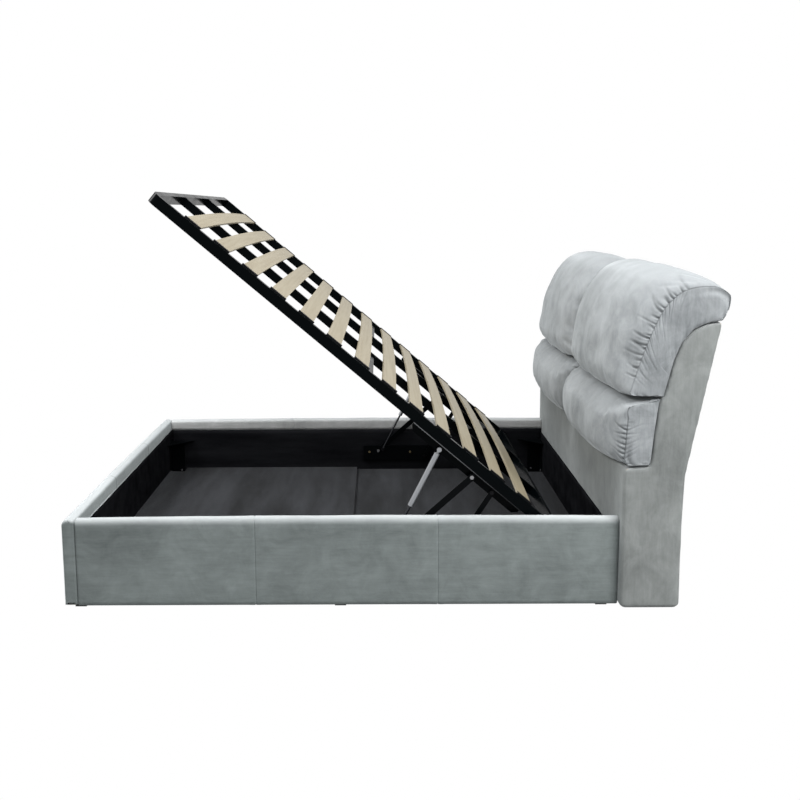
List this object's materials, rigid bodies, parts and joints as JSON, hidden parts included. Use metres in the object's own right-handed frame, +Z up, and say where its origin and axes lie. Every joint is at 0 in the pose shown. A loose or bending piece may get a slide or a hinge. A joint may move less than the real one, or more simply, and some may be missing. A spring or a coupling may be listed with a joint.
{
  "type": "ottoman storage bed",
  "caption": "Upholstered storage bed with its sprung slat platform raised on gas struts over an open box, and a tall cushioned headboard.",
  "frame": {"origin": "on the floor, in the middle of the whole bed's length and width", "axes": "+X towards the headboard, +Y across the bed to the far side, +Z up"},
  "size_m": [2.4564, 1.986, 1.5334],
  "materials": {
    "velvet": "mottled crushed velvet",
    "lining": "matt woven lining",
    "rail_board": "plain board, hidden",
    "floor_board": "dark covered board",
    "slat_wood": "satin laminated beech",
    "frame_steel": "gloss black paint",
    "strut_silver": "satin silver",
    "rod_steel": "polished",
    "fixings": "bright zinc plate",
    "channel_fixings": "yellow zinc plate",
    "holder_plastic": "moulded, fine grain",
    "glide_plastic": "moulded"
  },
  "bodies": {
    "root": {"foot_board_core": "rail_board", "foot_board_cover": "velvet", "foot_board_lining": "lining", "near_rail_core": "rail_board", "near_rail_cover": "velvet", "near_rail_lining": "lining", "far_rail_core": "rail_board", "far_rail_cover": "velvet", "far_rail_lining": "lining", "foot_floor_board": "floor_board", "headboard_frame": "rail_board", "headboard_cover": "velvet", "head_lining": "lining", "near_upper_cushion": "velvet", "far_upper_cushion": "velvet", "near_lower_cushion": "velvet", "far_lower_cushion": "velvet", "head_floor_board": "floor_board", "floor_bearers": "rail_board", "glides": "glide_plastic", "corner_brackets": "frame_steel", "bracket_bolts": "fixings", "near_lift_channel": "frame_steel", "far_lift_channel": "frame_steel", "channel_bolts": "channel_fixings", "base_pivots": "fixings"},
    "front_arms": {"near_front_arm": "frame_steel", "far_front_arm": "frame_steel"},
    "platform": {"near_side_tube": "frame_steel", "far_side_tube": "frame_steel", "foot_end_tube": "frame_steel", "head_end_tube": "frame_steel", "near_inner_bar": "frame_steel", "far_inner_bar": "frame_steel", "cross_ties": "frame_steel", "slat_holders": "holder_plastic", "near_platform_angle": "frame_steel", "far_platform_angle": "frame_steel", "platform_pivots": "fixings", "ball_studs": "fixings", "slat_01": "slat_wood", "slat_02": "slat_wood", "slat_03": "slat_wood", "slat_04": "slat_wood", "slat_05": "slat_wood", "slat_06": "slat_wood", "slat_07": "slat_wood", "slat_08": "slat_wood", "slat_09": "slat_wood", "slat_10": "slat_wood", "slat_11": "slat_wood", "slat_12": "slat_wood", "slat_13": "slat_wood"},
    "rear_arms": {"near_rear_arm": "frame_steel", "far_rear_arm": "frame_steel", "rear_upper_pins": "fixings"},
    "strut_cylinders": {"near_strut_cylinder": "strut_silver", "far_strut_cylinder": "strut_silver"},
    "strut_rods": {"near_strut_rod": "rod_steel", "far_strut_rod": "rod_steel"}
  },
  "joints": [
    {"name": "front_arm_base", "type": "hinge", "parent": "root", "child": "front_arms", "pos_m": [-0.05085, 0, 0.166], "axis": [0, 1, 0], "range_deg": [0, 37], "stiffness_Nm_per_rad": 120, "springref_deg": -148.97},
    {"name": "platform_lift", "type": "hinge", "parent": "front_arms", "child": "platform", "pos_m": [0.29729, 0, 0.47727], "axis": [0, -1, 0], "range_deg": [0, 77.6]},
    {"name": "rear_arm_base", "type": "hinge", "parent": "root", "child": "rear_arms", "pos_m": [0.19968, 0, 0.14], "axis": [0, 1, 0], "range_deg": [0, 45.8]},
    {"name": "strut_top_pivot", "type": "hinge", "parent": "platform", "child": "strut_cylinders", "pos_m": [0.17658, 0, 0.58], "axis": [0, 1, 0], "range_deg": [0, 98.6]},
    {"name": "strut_stroke", "type": "slide", "parent": "strut_cylinders", "child": "strut_rods", "axis": [0.4502, 0, 0.8929], "range_m": [0, 0.167]}
  ],
  "couplings": [
    {"joint": "platform_lift", "follows": "front_arm_base", "ratio": 2.0916},
    {"joint": "rear_arm_base", "follows": "front_arm_base", "ratio": 1.232},
    {"joint": "strut_top_pivot", "follows": "front_arm_base", "ratio": 2.6553},
    {"joint": "strut_stroke", "follows": "front_arm_base", "m_per_rad": 0.25782}
  ]
}
